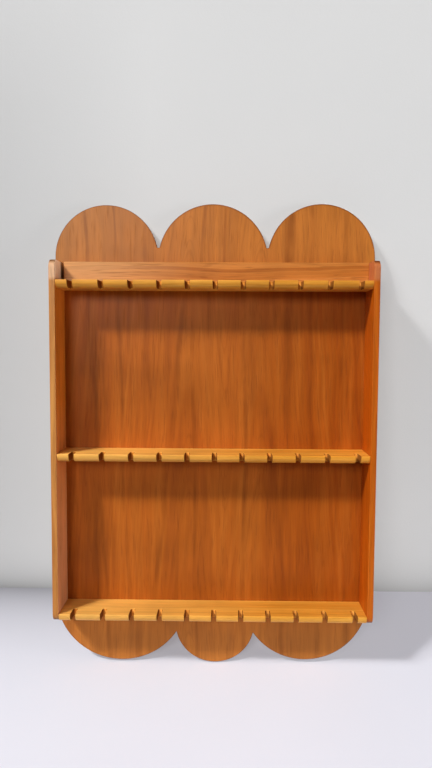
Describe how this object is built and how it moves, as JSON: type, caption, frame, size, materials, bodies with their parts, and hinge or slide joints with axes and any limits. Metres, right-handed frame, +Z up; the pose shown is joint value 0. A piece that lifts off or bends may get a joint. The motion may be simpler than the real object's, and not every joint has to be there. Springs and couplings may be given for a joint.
{
  "type": "spoon rack",
  "caption": "Shallow wooden wall rack for souvenir spoons, with notched shelves between side boards on a back panel with a scalloped top and bottom.",
  "frame": {"origin": "on the wall plane, midway between the two hangers, at the height where the wall nails catch", "axes": "+X to the rack's right as seen from the front, +Y into the wall, +Z up; the front faces -Y"},
  "size_m": [0.306, 0.0418, 0.4501],
  "materials": {
    "panel_veneer": "satin varnish over teak-coloured veneer, grain upright",
    "side_wood": "satin varnish, grain upright",
    "header_wood": "satin varnish, grain along the rail",
    "shelf_wood": "satin varnish, grain along the shelf",
    "hanger_steel": "thin zinc plating",
    "brad_steel": "plain steel, a little dull"
  },
  "bodies": {
    "root": {"back_panel": "panel_veneer", "left_side": "side_wood", "right_side": "side_wood", "header_rail": "header_wood", "top_shelf": "shelf_wood", "middle_shelf": "shelf_wood", "bottom_shelf": "shelf_wood", "side_brads": "brad_steel", "panel_brads": "brad_steel", "left_hanger": "hanger_steel", "right_hanger": "hanger_steel", "hanger_nails": "brad_steel"}
  },
  "joints": []
}
